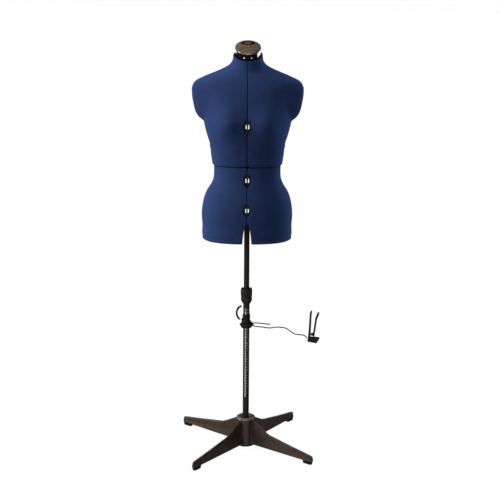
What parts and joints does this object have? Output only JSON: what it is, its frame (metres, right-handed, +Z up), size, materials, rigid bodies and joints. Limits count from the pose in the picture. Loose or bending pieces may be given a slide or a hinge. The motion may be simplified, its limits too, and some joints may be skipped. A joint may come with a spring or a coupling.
{
  "type": "dress form mannequin",
  "caption": "Adjustable headless torso form in panels with turn wheels, on a telescopic pole with a four-legged base and a clip-on hem marker.",
  "frame": {"origin": "on the floor, under the middle of the pole", "axes": "+Z up along the pole; the form faces -Y, so its own left side is at +X"},
  "size_m": [0.4937, 0.4708, 1.4261],
  "materials": {
    "knit_cover": "navy jersey knit over thin foam",
    "shell_plastic": "moulded dark shell, satin inside",
    "frame_plastic": "moulded black frame",
    "wheel_plastic": "polished black wheel",
    "cap_plastic": "polished dark bronze brown",
    "stem_plastic": "polished black",
    "pole_enamel": "black enamel on steel tube, printed scale",
    "lock_plastic": "fine moulded grain",
    "marker_plastic": "black moulded plastic",
    "wire_enamel": "black wire",
    "base_plastic": "brown black moulded plastic",
    "collar_plastic": "polished brown black ring",
    "foot_rubber": "black rubber"
  },
  "bodies": {
    "stand": {"base_hub": "base_plastic", "hub_collar": "collar_plastic", "leg_front_left": "base_plastic", "leg_back_left": "base_plastic", "leg_back_right": "base_plastic", "leg_front_right": "base_plastic", "foot_front_left": "foot_rubber", "foot_back_left": "foot_rubber", "foot_back_right": "foot_rubber", "foot_front_right": "foot_rubber", "outer_tube": "pole_enamel", "lock_socket": "lock_plastic"},
    "lock_nut": {"lock_nut": "lock_plastic"},
    "column": {"inner_tube": "pole_enamel"},
    "lower_core": {"lower_spider": "frame_plastic"},
    "upper_core": {"upper_spider": "frame_plastic", "neck_stem": "stem_plastic", "neck_cap": "cap_plastic"},
    "lower_front_carriage": {"lower_front_carriage": "frame_plastic"},
    "lower_back_carriage": {"lower_back_carriage": "frame_plastic"},
    "lower_left_carriage": {"lower_left_carriage": "frame_plastic"},
    "lower_right_carriage": {"lower_right_carriage": "frame_plastic"},
    "lower_front_left_panel": {"lower_front_left_shell": "shell_plastic", "lower_front_left_cover": "knit_cover"},
    "lower_front_right_panel": {"lower_front_right_shell": "shell_plastic", "lower_front_right_cover": "knit_cover"},
    "lower_back_left_panel": {"lower_back_left_shell": "shell_plastic", "lower_back_left_cover": "knit_cover"},
    "lower_back_right_panel": {"lower_back_right_shell": "shell_plastic", "lower_back_right_cover": "knit_cover"},
    "waist_front_wheel": {"waist_front_wheel": "wheel_plastic"},
    "waist_back_wheel": {"waist_back_wheel": "wheel_plastic"},
    "waist_left_wheel": {"waist_left_wheel": "wheel_plastic"},
    "waist_right_wheel": {"waist_right_wheel": "wheel_plastic"},
    "hip_front_wheel": {"hip_front_wheel": "wheel_plastic"},
    "hip_back_wheel": {"hip_back_wheel": "wheel_plastic"},
    "hip_left_wheel": {"hip_left_wheel": "wheel_plastic"},
    "hip_right_wheel": {"hip_right_wheel": "wheel_plastic"},
    "upper_front_carriage": {"upper_front_carriage": "frame_plastic"},
    "upper_back_carriage": {"upper_back_carriage": "frame_plastic"},
    "upper_left_carriage": {"upper_left_carriage": "frame_plastic"},
    "upper_right_carriage": {"upper_right_carriage": "frame_plastic"},
    "upper_front_left_panel": {"upper_front_left_shell": "shell_plastic", "upper_front_left_cover": "knit_cover"},
    "upper_front_right_panel": {"upper_front_right_shell": "shell_plastic", "upper_front_right_cover": "knit_cover"},
    "upper_back_left_panel": {"upper_back_left_shell": "shell_plastic", "upper_back_left_cover": "knit_cover"},
    "upper_back_right_panel": {"upper_back_right_shell": "shell_plastic", "upper_back_right_cover": "knit_cover"},
    "bust_front_wheel": {"bust_front_wheel": "wheel_plastic"},
    "bust_back_wheel": {"bust_back_wheel": "wheel_plastic"},
    "bust_left_wheel": {"bust_left_wheel": "wheel_plastic"},
    "bust_right_wheel": {"bust_right_wheel": "wheel_plastic"},
    "marker_slider": {"marker_slider": "marker_plastic"},
    "marker_lever": {"marker_lever": "marker_plastic"},
    "marker_swing": {"marker_ring": "marker_plastic", "marker_arm": "wire_enamel", "marker_clip_base": "marker_plastic"},
    "marker_jaw": {"marker_clip_jaw": "marker_plastic"}
  },
  "joints": [
    {"name": "lock_turn", "type": "hinge", "parent": "stand", "child": "lock_nut", "pos_m": [0, 0, 0.5525], "axis": [0, 0, 1], "range_deg": [0, 120]},
    {"name": "height_slide", "type": "slide", "parent": "stand", "child": "column", "axis": [0, 0, 1], "range_m": [-0.14, 0.2]},
    {"name": "body_turn", "type": "hinge", "parent": "column", "child": "lower_core", "pos_m": [0, 0, 0.925], "axis": [0, 0, 1], "continuous": true},
    {"name": "body_length", "type": "slide", "parent": "lower_core", "child": "upper_core", "axis": [0, 0, 1], "range_m": [0, 0.04]},
    {"name": "lower_front_slide", "type": "slide", "parent": "lower_core", "child": "lower_front_carriage", "axis": [0, -1, 0], "range_m": [0, 0.025]},
    {"name": "lower_back_slide", "type": "slide", "parent": "lower_core", "child": "lower_back_carriage", "axis": [0, 1, 0], "range_m": [0, 0.025]},
    {"name": "lower_left_slide", "type": "slide", "parent": "lower_core", "child": "lower_left_carriage", "axis": [1, 0, 0], "range_m": [0, 0.025]},
    {"name": "lower_right_slide", "type": "slide", "parent": "lower_core", "child": "lower_right_carriage", "axis": [-1, 0, 0], "range_m": [0, 0.025]},
    {"name": "lower_front_left_slide", "type": "slide", "parent": "lower_front_carriage", "child": "lower_front_left_panel", "axis": [1, 0, 0], "range_m": [0, 0.025]},
    {"name": "lower_front_right_slide", "type": "slide", "parent": "lower_front_carriage", "child": "lower_front_right_panel", "axis": [-1, 0, 0], "range_m": [0, 0.025]},
    {"name": "lower_back_left_slide", "type": "slide", "parent": "lower_back_carriage", "child": "lower_back_left_panel", "axis": [1, 0, 0], "range_m": [0, 0.025]},
    {"name": "lower_back_right_slide", "type": "slide", "parent": "lower_back_carriage", "child": "lower_back_right_panel", "axis": [-1, 0, 0], "range_m": [0, 0.025]},
    {"name": "waist_front_turn", "type": "hinge", "parent": "lower_front_carriage", "child": "waist_front_wheel", "pos_m": [0, -0.07064, 0.973], "axis": [1, 0, 0], "range_deg": [0, 1440]},
    {"name": "waist_back_turn", "type": "hinge", "parent": "lower_back_carriage", "child": "waist_back_wheel", "pos_m": [0, 0.07726, 0.973], "axis": [1, 0, 0], "range_deg": [0, 1440]},
    {"name": "waist_left_turn", "type": "hinge", "parent": "lower_left_carriage", "child": "waist_left_wheel", "pos_m": [0.0938, 0, 0.973], "axis": [0, 1, 0], "range_deg": [0, 1440]},
    {"name": "waist_right_turn", "type": "hinge", "parent": "lower_right_carriage", "child": "waist_right_wheel", "pos_m": [-0.0938, 0, 0.973], "axis": [0, 1, 0], "range_deg": [0, 1440]},
    {"name": "hip_front_turn", "type": "hinge", "parent": "lower_front_carriage", "child": "hip_front_wheel", "pos_m": [0, -0.0895, 0.875], "axis": [1, 0, 0], "range_deg": [0, 1440]},
    {"name": "hip_back_turn", "type": "hinge", "parent": "lower_back_carriage", "child": "hip_back_wheel", "pos_m": [0, 0.11196, 0.875], "axis": [1, 0, 0], "range_deg": [0, 1440]},
    {"name": "hip_left_turn", "type": "hinge", "parent": "lower_left_carriage", "child": "hip_left_wheel", "pos_m": [0.13328, 0, 0.822], "axis": [0, 1, 0], "range_deg": [0, 1440]},
    {"name": "hip_right_turn", "type": "hinge", "parent": "lower_right_carriage", "child": "hip_right_wheel", "pos_m": [-0.13328, 0, 0.822], "axis": [0, 1, 0], "range_deg": [0, 1440]},
    {"name": "upper_front_slide", "type": "slide", "parent": "upper_core", "child": "upper_front_carriage", "axis": [0, -1, 0], "range_m": [0, 0.025]},
    {"name": "upper_back_slide", "type": "slide", "parent": "upper_core", "child": "upper_back_carriage", "axis": [0, 1, 0], "range_m": [0, 0.025]},
    {"name": "upper_left_slide", "type": "slide", "parent": "upper_core", "child": "upper_left_carriage", "axis": [1, 0, 0], "range_m": [0, 0.025]},
    {"name": "upper_right_slide", "type": "slide", "parent": "upper_core", "child": "upper_right_carriage", "axis": [-1, 0, 0], "range_m": [0, 0.025]},
    {"name": "upper_front_left_slide", "type": "slide", "parent": "upper_front_carriage", "child": "upper_front_left_panel", "axis": [1, 0, 0], "range_m": [0, 0.025]},
    {"name": "upper_front_right_slide", "type": "slide", "parent": "upper_front_carriage", "child": "upper_front_right_panel", "axis": [-1, 0, 0], "range_m": [0, 0.025]},
    {"name": "upper_back_left_slide", "type": "slide", "parent": "upper_back_carriage", "child": "upper_back_left_panel", "axis": [1, 0, 0], "range_m": [0, 0.025]},
    {"name": "upper_back_right_slide", "type": "slide", "parent": "upper_back_carriage", "child": "upper_back_right_panel", "axis": [-1, 0, 0], "range_m": [0, 0.025]},
    {"name": "bust_front_turn", "type": "hinge", "parent": "upper_front_carriage", "child": "bust_front_wheel", "pos_m": [0, -0.09018, 1.154], "axis": [1, 0, 0], "range_deg": [0, 1440]},
    {"name": "bust_back_turn", "type": "hinge", "parent": "upper_back_carriage", "child": "bust_back_wheel", "pos_m": [0, 0.09006, 1.154], "axis": [1, 0, 0], "range_deg": [0, 1440]},
    {"name": "bust_left_turn", "type": "hinge", "parent": "upper_left_carriage", "child": "bust_left_wheel", "pos_m": [0.10793, 0, 1.092], "axis": [0, 1, 0], "range_deg": [0, 1440]},
    {"name": "bust_right_turn", "type": "hinge", "parent": "upper_right_carriage", "child": "bust_right_wheel", "pos_m": [-0.10793, 0, 1.092], "axis": [0, 1, 0], "range_deg": [0, 1440]},
    {"name": "marker_height", "type": "slide", "parent": "stand", "child": "marker_slider", "axis": [0, 0, 1], "range_m": [-0.26, 0.006]},
    {"name": "marker_clamp", "type": "hinge", "parent": "marker_slider", "child": "marker_lever", "pos_m": [-0.0215, 0, 0.466], "axis": [0, -1, 0], "range_deg": [0, 35]},
    {"name": "marker_turn", "type": "hinge", "parent": "marker_slider", "child": "marker_swing", "pos_m": [0, 0, 0.4425], "axis": [0, 0, 1], "continuous": true},
    {"name": "marker_jaw", "type": "hinge", "parent": "marker_swing", "child": "marker_jaw", "pos_m": [0.2302, 0, 0.413], "axis": [0, 1, 0], "range_deg": [-11, 9]}
  ],
  "couplings": [
    {"joint": "waist_front_turn", "follows": "lower_front_left_slide", "rad_per_m": 1005.2},
    {"joint": "waist_back_turn", "follows": "lower_front_left_slide", "rad_per_m": 1005.2},
    {"joint": "waist_left_turn", "follows": "lower_front_slide", "rad_per_m": 1005.2},
    {"joint": "waist_right_turn", "follows": "lower_front_slide", "rad_per_m": 1005.2},
    {"joint": "hip_front_turn", "follows": "lower_front_left_slide", "rad_per_m": 1005.2},
    {"joint": "hip_back_turn", "follows": "lower_front_left_slide", "rad_per_m": 1005.2},
    {"joint": "hip_left_turn", "follows": "lower_front_slide", "rad_per_m": 1005.2},
    {"joint": "hip_right_turn", "follows": "lower_front_slide", "rad_per_m": 1005.2},
    {"joint": "lower_back_slide", "follows": "lower_front_slide", "ratio": 1},
    {"joint": "lower_front_right_slide", "follows": "lower_front_left_slide", "ratio": 1},
    {"joint": "lower_back_left_slide", "follows": "lower_front_left_slide", "ratio": 1},
    {"joint": "lower_back_right_slide", "follows": "lower_front_left_slide", "ratio": 1},
    {"joint": "lower_left_slide", "follows": "lower_front_left_slide", "ratio": 1},
    {"joint": "lower_right_slide", "follows": "lower_front_left_slide", "ratio": 1},
    {"joint": "bust_front_turn", "follows": "upper_front_left_slide", "rad_per_m": 1005.2},
    {"joint": "bust_back_turn", "follows": "upper_front_left_slide", "rad_per_m": 1005.2},
    {"joint": "bust_left_turn", "follows": "upper_front_slide", "rad_per_m": 1005.2},
    {"joint": "bust_right_turn", "follows": "upper_front_slide", "rad_per_m": 1005.2},
    {"joint": "upper_back_slide", "follows": "upper_front_slide", "ratio": 1},
    {"joint": "upper_front_right_slide", "follows": "upper_front_left_slide", "ratio": 1},
    {"joint": "upper_back_left_slide", "follows": "upper_front_left_slide", "ratio": 1},
    {"joint": "upper_back_right_slide", "follows": "upper_front_left_slide", "ratio": 1},
    {"joint": "upper_left_slide", "follows": "upper_front_left_slide", "ratio": 1},
    {"joint": "upper_right_slide", "follows": "upper_front_left_slide", "ratio": 1}
  ]
}
